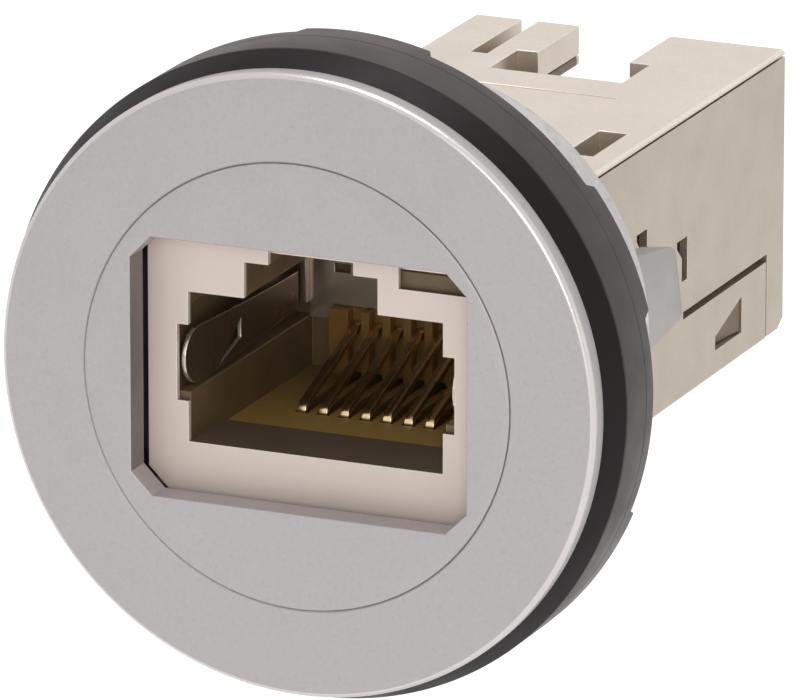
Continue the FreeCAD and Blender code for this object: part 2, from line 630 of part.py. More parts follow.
def front_spring_right():
    """Shield spring that curves into the socket from its right wall, with a lanced window."""
    front = SPRING_FRONT_Y
    low = SPRING_MID_Z - SPRING_FRONT_R - CUT
    height = 2 * (SPRING_FRONT_R + CUT)
    gaps = (SPRING_FRONT_GAP, SPRING_MIDDLE_GAP, SPRING_REAR_GAP)

    def curved(wall):
        """Ends and middle of one face's curve, stepping in from a wall."""
        return [V(wall - gap, front + SPRING_L * i / 2, low) for i, gap in enumerate(gaps)]

    outer = curved(POCKET_W / 2)
    inner = curved(POCKET_W / 2 - SPRING_T)
    plan = Part.Wire([Part.Arc(*outer).toShape(), Part.makeLine(outer[2], inner[2]),
                      Part.Arc(*inner).toShape(), Part.makeLine(inner[0], outer[0])])
    leaf = Part.Face(plan).extrude(V(0, 0, height)).common(spring_outline((0, HALF_W)))
    start = front + LANCE_START
    lance = along_x([(start, LANCE_LOW), (start + LANCE_L, LANCE_REAR_LOW),
                     (start + LANCE_L, LANCE_REAR_HIGH)], (0, HALF_W))
    return leaf.cut(lance)


def circuit_board():
    """Board that joins the two rows of contacts."""
    y = (BOARD_FRONT_Y, BOARD_FRONT_Y + BOARD_T)
    return box(centred(INNER_W - 2 * SLIP), y, (INNER_BOTTOM + SLIP, INNER_TOP - SLIP))


def build():
    """All pieces by name."""
    spring = front_spring_right()
    contacts = front_contacts()
    comb = front_comb()
    shield = front_back_shield()
    return {
        "bezel_ring": bezel_ring(),
        "face_disc": face_disc(),
        "bezel_carrier": bezel_carrier(),
        "panel_seal": panel_seal(),
        "neck_sleeve": neck_sleeve(),
        "front_plate": front_plate(),
        "rear_plate": rear_plate(),
        "top_cover": top_cover(),
        "side_shell": side_shell(),
        "front_insert": front_insert(),
        "rear_insert": rear_insert(),
        "front_contacts": contacts,
        "rear_contacts": to_rear(contacts),
        "front_comb": comb,
        "rear_comb": to_rear(comb),
        "front_back_shield": shield,
        "rear_back_shield": to_rear(shield),
        "front_spring_right": spring,
        "front_spring_left": mirror_x(spring),
        "rear_spring_right": to_rear(spring),
        "rear_spring_left": to_rear(mirror_x(spring)),
        "circuit_board": circuit_board(),
    }


os.makedirs("parts", exist_ok=True)
for name, shape in build().items():
    shape.exportStep("parts/" + name + ".step")
    print(name, "solids", len(shape.Solids), "valid", shape.isValid(), "volume", round(shape.Volume, 2))
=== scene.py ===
"""Dresses a panel-mount ethernet coupler over its packed construction.

The coupler is a plated shell with a modular socket at each end. It is held in a threaded neck
behind a round silver bezel. Sizes in this file are in millimetres in the construction's own
frame: +Y runs into the panel, +Z is up, and y = 0 is the plane of the panel's front.
"""

import json
import logging
import math
from dataclasses import dataclass, field
from enum import Enum
from typing import Callable, Optional, Sequence

import bmesh
import bpy
from mathutils import Matrix, Vector

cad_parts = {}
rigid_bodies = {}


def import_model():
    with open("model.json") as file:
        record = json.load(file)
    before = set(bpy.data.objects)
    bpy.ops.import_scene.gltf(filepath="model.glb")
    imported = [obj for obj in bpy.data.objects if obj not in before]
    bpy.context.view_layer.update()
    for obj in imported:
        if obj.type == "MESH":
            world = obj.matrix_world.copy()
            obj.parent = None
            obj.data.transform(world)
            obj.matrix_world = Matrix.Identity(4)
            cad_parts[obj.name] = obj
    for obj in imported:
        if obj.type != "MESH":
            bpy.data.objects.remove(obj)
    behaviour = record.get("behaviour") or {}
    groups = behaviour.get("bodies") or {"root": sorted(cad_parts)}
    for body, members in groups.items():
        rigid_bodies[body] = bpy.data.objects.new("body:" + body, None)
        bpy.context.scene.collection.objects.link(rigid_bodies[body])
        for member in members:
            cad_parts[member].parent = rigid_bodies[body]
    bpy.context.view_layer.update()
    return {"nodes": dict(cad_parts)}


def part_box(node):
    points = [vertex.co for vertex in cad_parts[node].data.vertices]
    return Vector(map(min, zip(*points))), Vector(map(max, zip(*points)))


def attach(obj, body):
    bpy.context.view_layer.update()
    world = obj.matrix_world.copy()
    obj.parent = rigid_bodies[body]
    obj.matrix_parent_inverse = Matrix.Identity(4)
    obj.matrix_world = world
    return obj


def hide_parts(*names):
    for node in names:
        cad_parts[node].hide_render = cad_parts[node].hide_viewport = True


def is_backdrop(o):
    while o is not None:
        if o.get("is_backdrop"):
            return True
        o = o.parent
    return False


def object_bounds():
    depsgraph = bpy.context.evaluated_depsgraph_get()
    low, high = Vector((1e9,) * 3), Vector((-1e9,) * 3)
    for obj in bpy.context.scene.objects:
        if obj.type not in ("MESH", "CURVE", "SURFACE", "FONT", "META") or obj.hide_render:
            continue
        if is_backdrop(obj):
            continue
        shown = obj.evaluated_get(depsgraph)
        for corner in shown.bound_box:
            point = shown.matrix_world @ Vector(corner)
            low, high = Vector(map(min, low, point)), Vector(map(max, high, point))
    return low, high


LOG = logging.getLogger("coupler")

MM = 0.001
BODY = "root"

# The middle of the circuit board along Y.
BOARD_MIDDLE = 14.15
# Steps of a full turn, and of a bevel.
ROUND_STEPS = 288
BEVEL_STEPS = 2
PLATE_BEVEL_STEPS = 3
# Room beside the shell and past the ends of the passage cut for it.
PASSAGE_ROOM = 0.05
PASSAGE_OVERRUN = 1.0
# Points closer than this are one: on a lathe's seam, in a construction mesh.
SEAM_GAP = 0.0003
MESH_GAP = 0.0005
# A part of its normal is at least this on a face square to an axis.
SQUARE = 0.97
# Places in metres that differ by less than this are the same.
LEVEL = 1e-7
# Turns in degrees of: sharp edges, those of the lathed neck and seal, bevelled edges, a plate's
# rim, faces taken as one, and corners taken as straight.
SHARP_TURN = 35.0
LATHED_SHARP_TURN = 40.0
BEVEL_TURN = 30.0
RIM_TURN = 60.0
SAME_PLANE_TURN = 0.5
STRAIGHT_TURN = 179.0
# A piece's faces have the first material, and those marked as its edges the second; on the ring,
# cover, sheet and leaves that second one is a painted highlight, and on the disc a painted shade.
BROAD, EDGE = 0, 1
# The Mix node's colour sockets share their names with others, so they go by number.
FIRST_COLOUR, SECOND_COLOUR, MIXED_COLOUR = 6, 7, 2
NOISE_ROUGHNESS = 0.55
# The gloss drifts in patches this many times smaller than the tone's.
GLOSS_DIVISION = 3

BMesh = bmesh.types.BMesh
Socket = bpy.types.NodeSocket
Point = tuple[float, float]
Span = tuple[float, float]
Corner = tuple[float, float, float]
Section = Callable[[float], list[Point]]


class End(Enum):
    """The two ends of the coupler that take a plug."""

    FRONT = "front"
    REAR = "rear"


class Hand(Enum):
    """The two side walls of a socket, as seen from in front of it."""

    RIGHT = "right"
    LEFT = "left"


def linear(level: float) -> float:
    """Turns one 0 to 255 screen level into a linear one.

    Args:
        level: The level as a picture shows it.

    Returns:
        The linear level, from 0 to 1.
    """
    share = level / 255.0
    return share / 12.92 if share <= 0.04045 else ((share + 0.055) / 1.055) ** 2.4


def shade(levels: Sequence[float], factor: float = 1.0) -> tuple[float, float, float, float]:
    """Turns a screen colour into a shader's linear colour.

    Args:
        levels: Red, green and blue from 0 to 255.
        factor: How much lighter or darker the colour gets.

    Returns:
        Linear red, green, blue and an alpha of 1.
    """
    red, green, blue = (min(1.0, linear(level) * factor) for level in levels)
    return red, green, blue, 1.0


class NodeGraph:
    """A node tree, filled and joined by short calls."""

    def __init__(self, owner: bpy.types.ID) -> None:
        """Empties the tree of a material or a world.

        Args:
            owner: The material or world.
        """
        owner.use_nodes = True
        self.tree = owner.node_tree
        self.tree.nodes.clear()

    def add(self, kind: str, **inputs: object) -> bpy.types.Node:
        """Adds a node.

        Args:
            kind: Blender's name for the node.
            **inputs: Constants for its sockets; an underscore in a name stands for a space.

        Returns:
            The new node.
        """
        node = self.tree.nodes.new(kind)
        for key, value in inputs.items():
            node.inputs[key.replace("_", " ")].default_value = value
        return node

    def join(self, start: Socket, end: Socket) -> None:
        """Links an output to an input."""
        self.tree.links.new(start, end)

    def feed(self, value: object, socket: Socket) -> None:
        """Gives an input its value.

        Args:
            value: A constant, or an output that is linked to the input.
            socket: The input.
        """
        if isinstance(value, Socket):
            self.join(value, socket)
        else:
            socket.default_value = value

    def reckon(self, operation: str, *values: object) -> Socket:
        """Adds a node that reckons with one or two numbers.

        Args:
            operation: Blender's name for what it does.
            *values: Numbers, or outputs that give them.

        Returns:
            The result.
        """
        node = self.add("ShaderNodeMath")
        node.operation = operation
        for value, socket in zip(values, node.inputs):
            self.feed(value, socket)
        return node.outputs["Value"]

    def spread(self, value: Socket, low: float, high: float,
               start: float = 0.3, end: float = 0.7) -> Socket:
        """Maps a value to a range.

        Args:
            value: The value to map.
            low: Result at the low end.
            high: Result at the high end.
            start: Value that gives the low end.
            end: Value that gives the high end.

        Returns:
            The mapped value.
        """
        ramp = self.add("ShaderNodeMapRange", From_Min=start, From_Max=end, To_Min=low, To_Max=high)
        self.join(value, ramp.inputs["Value"])
        return ramp.outputs["Result"]

    def seen_directly(self) -> Socket:
        """Tells camera, mirror and glass rays from the others.

        Returns:
            1 for those rays and 0 for the others.
        """
        rays = self.add("ShaderNodeLightPath").outputs
        seen = self.reckon("MAXIMUM", rays["Is Camera Ray"], rays["Is Glossy Ray"])
        return self.reckon("MAXIMUM", seen, rays["Is Transmission Ray"])


class SurfaceGraph(NodeGraph):
    """A material's nodes round its main shader."""

    def __init__(self, material: bpy.types.Material) -> None:
        """Empties the material's tree and adds the shader and its output.

        Args:
            material: The material that gets the nodes.
        """
        super().__init__(material)
        self.output = self.add("ShaderNodeOutputMaterial")
        self.shader = self.add("ShaderNodeBsdfPrincipled")
        self.join(self.shader.outputs["BSDF"], self.output.inputs["Surface"])
        self.place = self.add("ShaderNodeTexCoord").outputs["Object"]

    def noise(self, size: float, detail: float = 2.0, stretch: Corner = (1.0, 1.0, 1.0)) -> Socket:
        """Adds noise in the object's own space.

        Args:
            size: Size of one patch, in millimetres.
            detail: How many finer layers the noise has.
            stretch: How much denser the noise is along each axis.

        Returns:
            The noise's value, about 0.5 on average.
        """
        density = self.add("ShaderNodeMapping", Scale=stretch)
        self.join(self.place, density.inputs["Vector"])
        noise = self.add("ShaderNodeTexNoise", Scale=1.0 / (size * MM), Detail=detail,
                         Roughness=NOISE_ROUGHNESS)
        self.join(density.outputs["Vector"], noise.inputs["Vector"])
        return noise.outputs["Fac"]

    def blend(self, share: Socket, first: object, second: object) -> Socket:
        """Mixes two colours.

        Args:
            share: How much of the second colour shows.
            first: A colour or a socket that gives one.
            second: A colour or a socket that gives one.

        Returns:
            The mixed colour.
        """
        mix = self.add("ShaderNodeMix")
        mix.data_type = "RGBA"
        self.join(share, mix.inputs["Factor"])
        self.feed(first, mix.inputs[FIRST_COLOUR])
        self.feed(second, mix.inputs[SECOND_COLOUR])
        return mix.outputs[MIXED_COLOUR]


@dataclass(frozen=True)
class Finish:
    """A surface's colour, gloss and fine texture."""

    slot: str
    colour: tuple[int, int, int]
    metallic: float = 0.0
    roughness: float = 0.4
    tone: float = 0.05
    tone_size: float = 6.0
    gloss_spread: float = 0.06
    grain_size: float = 0.12
    grain_depth: float = 0.004
    grain_detail: float = 3.0
    grain_stretch: Corner = (1.0, 1.0, 1.0)
    name: str = ""

    def colours(self, graph: SurfaceGraph) -> Socket:
        """Builds the colour, which drifts slowly between a darker and a lighter tone.

        Args:
            graph: The material's nodes.

        Returns:
            The colour's socket.
        """
        drift = graph.spread(graph.noise(self.tone_size), 0.0, 1.0)
        return graph.blend(drift, shade(self.colour, 1.0 - self.tone),
                           shade(self.colour, 1.0 + self.tone))

    def heights(self, graph: SurfaceGraph) -> Socket:
        """Builds the fine grain's height."""
        return graph.noise(self.grain_size, self.grain_detail, self.grain_stretch)

    def material(self) -> bpy.types.Material:
        """Builds the whole material, or finds it if it was built before.

        Returns:
            The material.
        """
        name = self.name or self.slot + "_finish"
        made = bpy.data.materials.get(name)
        if made:
            return made
        made = bpy.data.materials.new(name)
        graph = SurfaceGraph(made)
        graph.shader.inputs["Metallic"].default_value = self.metallic
        graph.join(self.colours(graph), graph.shader.inputs["Base Color"])
        patches = graph.noise(self.tone_size / GLOSS_DIVISION)
        rough = graph.spread(patches, self.roughness - self.gloss_spread,
                             self.roughness + self.gloss_spread)
        graph.join(rough, graph.shader.inputs["Roughness"])
        bump = graph.add("ShaderNodeBump", Strength=1.0, Distance=self.grain_depth * MM)
        graph.join(self.heights(graph), bump.inputs["Height"])
        graph.join(bump.outputs["Normal"], graph.shader.inputs["Normal"])
        self.finish(graph)
        return made

    def finish(self, graph: SurfaceGraph) -> None:
        """Sets what only some finishes have."""

    def dress(self, piece: bpy.types.Object, edge: Optional["Finish"] = None) -> None:
        """Gives the finish to a piece.

        Args:
            piece: The piece to dress.
            edge: The finish of the faces marked as edges, if they have their own.
        """
        marks = [face.material_index if edge else BROAD for face in piece.data.polygons]
        piece.data.materials.clear()
        piece.data.materials.append(self.material())
        if edge:
            piece.data.materials.append(edge.material())
        piece.data.polygons.foreach_set("material_index", marks)


@dataclass(frozen=True)
class Speckled(Finish):
    """A finish with small lighter and darker specks, as in metallic lacquer or blasted zinc."""

    speck_size: float = 0.16
    speck_share: float = 0.12
    speck_detail: float = 1.0
    speck_range: Span = (0.56, 0.72)
    pit_scale: float = 1.7
    pit_stretch: Corner = (1.1, 0.9, 1.3)
    pit_range: Span = (0.56, 0.7)

    def colours(self, graph: SurfaceGraph) -> Socket:
        """Builds the drifting tone with light specks and dark pits over it.

        Args:
            graph: The material's nodes.

        Returns:
            The colour's socket.
        """
        ground = Finish.colours(self, graph)
        light = graph.noise(self.speck_size, self.speck_detail)
        dark = graph.noise(self.speck_size * self.pit_scale, self.speck_detail, self.pit_stretch)
        specks = graph.spread(light, 0.0, 1.0, *self.speck_range)
        pits = graph.spread(dark, 0.0, 1.0, *self.pit_range)
        lit = graph.blend(specks, ground, shade(self.colour, 1.0 + self.speck_share))
        return graph.blend(pits, lit, shade(self.colour, 1.0 - self.speck_share))


@dataclass(frozen=True)
class Plastic(Finish):
    """A moulded plastic or rubber with a soft gloss."""

    specular: float = 0.4
    translucency: float = 0.0
    scatter: Corner = (2.4, 1.5, 0.5)

    def finish(self, graph: SurfaceGraph) -> None:
        """Sets the specular level and how far light spreads inside.

        Args:
            graph: The material's nodes.
        """
        graph.shader.inputs["Specular IOR Level"].default_value = self.specular
        graph.shader.inputs["Subsurface Weight"].default_value = self.translucency
        graph.shader.inputs["Subsurface Radius"].default_value = self.scatter
        graph.shader.inputs["Subsurface Scale"].default_value = MM


@dataclass(frozen=True)
class Facing(Plastic):
    """A finish with painted light and shade: a second colour on the faces that look along one axis.
    """

    painted_light_colour: tuple[int, int, int] = (60, 52, 45)
    axis: str = "Z"
    both_ways: bool = False
    start: float = 0.5
    end: float = 0.9
    fade_from: float = 0.0
    fade_length: float = 0.0
    fade_top: float = -3.5
    fade_edge: float = 0.1

    def colours(self, graph: SurfaceGraph) -> Socket:
        """Builds the drifting tone, and the painted light and shade colour on the faces along the
        axis.

        Args:
            graph: The material's nodes.

        Returns:
            The colour's socket.
        """
        ground = Finish.colours(self, graph)
        parts = graph.add("ShaderNodeSeparateXYZ")
        graph.join(graph.add("ShaderNodeTexCoord").outputs["Normal"], parts.inputs["Vector"])
        towards = parts.outputs[self.axis]
        if self.both_ways:
            towards = graph.reckon("ABSOLUTE", towards)
        share = graph.spread(towards, 0.0, 1.0, self.start, self.end)
        if self.fade_length:
            share = self.faded(graph, share)
        return graph.blend(share, ground, shade(self.painted_light_colour))

    def faded(self, graph: SurfaceGraph, share: Socket) -> Socket:
        """Lets the painted light of the second colour fade inwards from both mouths.

        Args:
            graph: The material's nodes.
            share: How much of the second colour shows before that.

        Returns:
            How much of it shows afterwards.
        """
        place = graph.add("ShaderNodeSeparateXYZ")
        graph.join(graph.place, place.inputs["Vector"])
        inward = graph.reckon("SUBTRACT", place.outputs["Y"], BOARD_MIDDLE * MM)
        near = graph.spread(graph.reckon("ABSOLUTE", inward), 0.0, 1.0,
                            (self.fade_from - self.fade_length) * MM, self.fade_from * MM)
        under = graph.spread(place.outputs["Z"], 1.0, 0.0,
                             (self.fade_top - self.fade_edge) * MM, self.fade_top * MM)
        return graph.reckon("MULTIPLY", graph.reckon("MULTIPLY", share, near), under)


SILVER = Speckled("silver_bezel", (184, 178, 179), metallic=0.4, roughness=0.42, tone=0.02,
                  speck_share=0.05, grain_depth=0.003)
# The window's side walls get a darker colour, which is painted shade, with a streaky grain.
SILVER_WALL_SHADE = Finish("silver_bezel", (138, 128, 124), metallic=0.3, roughness=0.45,
                     grain_stretch=(1.0, 4.0, 0.3), grain_depth=0.01, name="silver_bezel_wall_shade")
# The ring's rounded rim gets a glossier finish and a lighter colour, which is a painted highlight.
SILVER_RIM_HIGHLIGHT = Finish("silver_bezel", (206, 200, 199), metallic=0.7, roughness=0.24, tone=0.02,
                    name="silver_bezel_rim_highlight")
BLACK_PLASTIC = Plastic("black_flange", (24, 20, 19), roughness=0.45, tone=0.06, grain_size=0.2,
                        specular=0.15)
RUBBER = Plastic("black_seal", (50, 43, 40), roughness=0.48, grain_size=0.15, grain_depth=0.006,
                 specular=0.45)
ZINC = Speckled("grey_neck", (198, 195, 193), metallic=0.7, roughness=0.4, tone=0.06,
                tone_size=2.0, speck_size=0.4, speck_share=0.16, grain_size=0.3,
                grain_depth=0.008)
SMOOTH_ZINC = Finish("grey_neck", (166, 162, 158), metallic=0.6, roughness=0.4, tone=0.03,
                     name="grey_neck_smooth")
CAST_NICKEL = Speckled("nickel_cast", (216, 203, 190), metallic=0.6, roughness=0.36, tone=0.04,
                       speck_size=0.12, speck_share=0.06)
# The cover's broken edges get a lighter colour, which is a painted highlight.
CAST_EDGE_HIGHLIGHT = Finish("nickel_cast", (232, 224, 214), metallic=0.7, roughness=0.3, tone=0.03,
                   name="nickel_cast_edge_highlight")
SHEET_NICKEL = Speckled("nickel_sheet", (178, 166, 152), metallic=0.7, roughness=0.38, tone=0.03,
                        speck_size=0.1, speck_share=0.04)
# The sheet's broken edges get a lighter colour, which is a painted highlight.
SHEET_EDGE_HIGHLIGHT = Finish("nickel_sheet", (214, 204, 192), metallic=0.75, roughness=0.32, tone=0.03,
                    name="nickel_sheet_edge_highlight")
# The plate's up-facing faces, such as the lip, get a darker colour: painted shade and a painted
# reflection of the dark inside.
PLATE_NICKEL = Facing("front_nickel", (240, 223, 213), metallic=0.05, roughness=0.4, tone=0.03,
                      painted_light_colour=(120, 102, 88))
PLATE_EDGE = Finish("front_nickel", (228, 220, 212), metallic=0.6, roughness=0.32, tone=0.03,
                    name="front_nickel_edge")
# The insert's up-facing floor near each mouth gets a lighter amber as painted light; its other
# faces keep the darker amber as painted shade.
AMBER = Facing("amber_insert", (116, 96, 68), roughness=0.38, tone=0.12, tone_size=3.0,
               grain_size=0.4, painted_light_colour=(226, 184, 94), fade_from=17.0, fade_length=14.0,
               translucency=0.5)
COMB_AMBER = Plastic("amber_comb", (140, 104, 52), tone=0.12, tone_size=2.0, grain_size=0.3,
                     translucency=0.5)
GOLD = Finish("gold_contact", (226, 202, 160), metallic=0.97, roughness=0.15, tone_size=1.0,
              grain_depth=0.001)
# The leaf springs' dark brown is painted shade; their faces along Y get a lighter painted
# highlight.
STEEL = Facing("spring_steel", (112, 96, 80), metallic=0.6, roughness=0.28, tone=0.04,
               gloss_spread=0.02, axis="Y", both_ways=True, painted_light_colour=(196, 186, 172))
# The leaves' broken edges get a much lighter colour, which is a painted highlight.
STEEL_EDGE_HIGHLIGHT = Finish("spring_steel", (222, 212, 198), metallic=0.8, roughness=0.3, tone=0.04,
                    name="spring_steel_edge_highlight")
SHIELD = Finish("spring_steel", (196, 182, 166), metallic=0.8, roughness=0.24, tone=0.04,
                gloss_spread=0.03, name="shield_steel")
LAMINATE = Plastic("board_laminate", (60, 96, 62), roughness=0.45, tone=0.08, grain_size=0.3)


def new_object(name: str, data: bpy.types.ID) -> bpy.types.Object:
    """Puts an object into the scene.

    Args:
        name: Its name.
        data: Its mesh, lamp or camera.

    Returns:
        The new object.
    """
    thing = bpy.data.objects.new(name, data)
    bpy.context.scene.collection.objects.link(thing)
    return thing


def from_bmesh(name: str, bm: BMesh, sharp: float = SHARP_TURN) -> bpy.types.Object:
    """Makes a piece of a bmesh, smooth except at its sharp edges.

    Args:
        name: The piece's name.
        bm: The geometry, which is freed.
        sharp: Edges that turn by more than these degrees stay sharp.

    Returns:
        The new object.
    """
    bmesh.ops.recalc_face_normals(bm, faces=bm.faces[:])
    mesh = bpy.data.meshes.new(name)
    bm.to_mesh(mesh)
    bm.free()
    mesh.shade_smooth()
    mesh.set_sharp_from_angle(angle=math.radians(sharp))
    return new_object(name, mesh)


def bake(piece: bpy.types.Object) -> None:
    """Bakes a piece's modifiers into its mesh.

    Args:
        piece: The piece, which gets the new mesh.
    """
    depsgraph = bpy.context.evaluated_depsgraph_get()
    result = bpy.data.meshes.new_from_object(
        piece.evaluated_get(depsgraph), preserve_all_data_layers=True, depsgraph=depsgraph)
    piece.modifiers.clear()
    piece.data = result


def evened(piece: bpy.types.Object) -> bpy.types.Object:
    """Lets a piece's broad faces shade flat, so that only its rounded edges catch the light.

    Args:
        piece: The piece, which is changed.

    Returns:
        The same piece.
    """
    step = piece.modifiers.new("even_shading", "WEIGHTED_NORMAL")
    step.keep_sharp = True
    bake(piece)
    return piece


def rounded(corners: Sequence[Corner], steps: int = 6) -> list[Point]:
    """Rounds the corners of a closed outline.

    Args:
        corners: Two coordinates and a radius for each corner.
        steps: Straight pieces in each arc.

    Returns:
        The outline's points.
    """
    points: list[Point] = []
    for i, (u, v, radius) in enumerate(corners):
        here = Vector((u, v))
        to_last = (Vector(corners[i - 1][:2]) - here).normalized()
        to_next = (Vector(corners[(i + 1) % len(corners)][:2]) - here).normalized()
        angle = to_last.angle(to_next)
        if radius <= 0.0 or angle > math.radians(STRAIGHT_TURN):
            points.append((u, v))
            continue
        reach = radius / math.tan(angle / 2)
        centre = here + (to_last + to_next).normalized() * (radius / math.sin(angle / 2))
        first = here + to_last * reach - centre
        turn = math.pi - angle
        side = 1.0 if to_last.cross(to_next) < 0 else -1.0
        for k in range(steps + 1):
            offset = first.copy()
            offset.rotate(Matrix.Rotation(side * turn * k / steps, 2))
            points.append(tuple(centre + offset))
    return points


def skin(bm: BMesh, rings: Sequence[Sequence[bmesh.types.BMVert]]) -> None:
    """Joins each closed ring of points to the next by faces.

    Args:
        bm: The geometry that gets the faces.
        rings: The rings, each with the same number of points.
    """
    for ring, following in zip(rings, rings[1:]):
        for k in range(len(ring)):
            bm.faces.new((ring[k - 1], ring[k], following[k], following[k - 1]))


def lathe(name: str, section: Section, steps: int = ROUND_STEPS,
          sharp: float = SHARP_TURN) -> bpy.types.Object:
    """Turns a closed section about the coupler's axis.

    Args:
        name: The piece's name.
        section: Gives the (radius, y) points at an angle in radians. Their number stays the
            same, and a full turn gives the same points again, if not in the same order.
        steps: How many times the section is repeated round the axis.
        sharp: Edges that turn by more than these degrees stay sharp.

    Returns:
        The new object.
    """
    bm = bmesh.new()
    rings = []
    for i in range(steps + 1):
        angle = 2 * math.pi * i / steps
        ring = [bm.verts.new((r * math.cos(angle) * MM, y * MM, r * math.sin(angle) * MM))
                for r, y in section(angle)]
        rings.append(ring)
    skin(bm, rings)
    bmesh.ops.remove_doubles(bm, verts=bm.verts[:], dist=SEAM_GAP * MM)
    return from_bmesh(name, bm, sharp)


def turned(name: str, corners: Sequence[Corner]) -> bpy.types.Object:
    """Turns one rounded section about the axis.

    Args:
        name: The piece's name.
        corners: Radius, y and corner radius for each corner of the section.

    Returns:
        The new object.
    """
    points = rounded(corners)
    return lathe(name, lambda angle: points)


def turning_edges(bm: BMesh, limit: float) -> list[bmesh.types.BMEdge]:
    """Finds the edges at which the surface turns sharply.

    Args:
        bm: The geometry.
        limit: The smallest turn that counts, in degrees.

    Returns:
        The edges.
    """
    return [edge for edge in bm.edges
            if len(edge.link_faces) == 2 and edge.calc_face_angle() > math.radians(limit)]


def bevel(bm: BMesh, edges: Sequence[bmesh.types.BMEdge], width: float, steps: int = BEVEL_STEPS,
          mark: int = -1) -> None:
    """Bevels some edges.

    Args:
        bm: The geometry.
        edges: The edges.
        width: The bevel's width in millimetres.
        steps: Steps across the bevel.
        mark: Material index of the new faces, or -1 for their neighbours' index.
    """
    bmesh.ops.bevel(bm, geom=edges, offset=width * MM, offset_type="OFFSET", segments=steps,
                    profile=0.5, affect="EDGES", clamp_overlap=True, material=mark)


def plate(name: str, outlines: Sequence[Sequence[Point]], y: Span,
          width: float) -> bpy.types.Object:
    """Makes a flat plate with holes, square to the axis.

    Args:
        name: The piece's name.
        outlines: (x, z) points of its edge and of each hole.
        y: Where its front and back lie.
        width: Width of the bevel on its edges.

    Returns:
        The new object.
    """
    bm = bmesh.new()
    for outline in outlines:
        corners = [bm.verts.new((x * MM, y[0] * MM, z * MM)) for x, z in outline]
        for a, b in zip(corners, corners[1:] + corners[:1]):
            bm.edges.new((a, b))
    bmesh.ops.triangle_fill(bm, use_beauty=True, edges=bm.edges[:])
    grown = bmesh.ops.extrude_face_region(bm, geom=bm.faces[:])
    moved = [item for item in grown["geom"] if isinstance(item, bmesh.types.BMVert)]
    bmesh.ops.translate(bm, verts=moved, vec=(0.0, (y[1] - y[0]) * MM, 0.0))
    bmesh.ops.recalc_face_normals(bm, faces=bm.faces[:])
    rim = [edge for edge in turning_edges(bm, RIM_TURN)
           if abs(edge.verts[0].co.y - edge.verts[1].co.y) < LEVEL]
    bevel(bm, rim, width, PLATE_BEVEL_STEPS)
    return evened(from_bmesh(name, bm))


def softened(node: bpy.types.Object, name: str, width: float) -> bpy.types.Object:
    """Copies a construction node as a piece whose sharp edges are slightly broken.

    Args:
        node: The construction node, which stays as it is.
        name: The new piece's name.
        width: Width of the broken edges, in millimetres.

    Returns:
        The new object.
    """
    bm = bmesh.new()
    bm.from_mesh(node.data)
    bmesh.ops.remove_doubles(bm, verts=bm.verts[:], dist=MESH_GAP * MM)
    bmesh.ops.dissolve_limit(bm, angle_limit=math.radians(SAME_PLANE_TURN), verts=bm.verts[:],
                             edges=bm.edges[:])
    for face in bm.faces:
        face.material_index = BROAD
    bevel(bm, turning_edges(bm, BEVEL_TURN), width, mark=EDGE)
    bm.normal_update()
    # Faces not square to an axis take the edge finish; on the cover, sheet and leaves that is a
    # painted highlight.
    for face in bm.faces:
        if max(abs(part) for part in face.normal) < SQUARE:
            face.material_index = EDGE
    return evened(from_bmesh(name, bm))


def settle(piece: bpy.types.Object, finish: Finish, node: str,
           edge: Optional[Finish] = None) -> None:
    """Dresses a piece, lets it ride on the body and notes which node it stands for.

    Args:
        piece: The piece.
        finish: Its finish.
        node: The construction node that it replaces.
        edge: The finish of the faces marked as edges, if they have their own.
    """
    finish.dress(piece, edge)
    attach(piece, BODY)
    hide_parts(node)
    LOG.info("%s: %d faces, stands for %s", piece.name, len(piece.data.polygons), node)


def cut_away(piece: bpy.types.Object, tools: Sequence[bpy.types.Object],
             operation: str = "DIFFERENCE") -> None:
    """Cuts or adds other solids, and bakes the result into the piece's mesh.

    Args:
        piece: The piece that is changed.
        tools: The other solids, which are removed afterwards.
        operation: DIFFERENCE cuts them away and UNION adds them.
    """
    for tool in tools:
        step = piece.modifiers.new(tool.name, "BOOLEAN")
        step.operation = operation
        step.solver = "EXACT"
        step.object = tool
    bake(piece)
    for tool in tools:
        bpy.data.objects.remove(tool)


def block(name: str, x: Span, y: Span, z: Span) -> bpy.types.Object:
    """Makes a plain block.

    Args:
        name: The block's name.
        x: Its limits along X.
        y: Its limits along Y.
        z: Its limits along Z.

    Returns:
        The new object.
    """
    bm = bmesh.new()
    bmesh.ops.create_cube(bm, size=1.0)
    size = Vector((x[1] - x[0], y[1] - y[0], z[1] - z[0])) * MM
    middle = Vector((sum(x), sum(y), sum(z))) * (MM / 2)
    place = Matrix.Translation(middle) @ Matrix.Diagonal(size.to_4d())
    bmesh.ops.transform(bm, matrix=place, verts=bm.verts[:])
    return from_bmesh(name, bm)


def limits(node: str) -> tuple[Vector, Vector]:
    """Reads a construction node's lowest and highest corners in millimetres."""
    low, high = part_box(node)
    return low / MM, high / MM


def shell_passage(front: float, back: float) -> bpy.types.Object:
    """Makes a block as wide and high as the shell, with a little room, to cut with.

    Args:
        front: Where the piece that it cuts starts along Y.
        back: Where that piece ends.

    Returns:
        The new object.
    """
    low, high = limits("side_shell")
    top = limits("top_cover")[1].z
    return block("passage", (low.x - PASSAGE_ROOM, high.x + PASSAGE_ROOM),
                 (front - PASSAGE_OVERRUN, back + PASSAGE_OVERRUN),
                 (low.z - PASSAGE_ROOM, top + PASSAGE_ROOM))


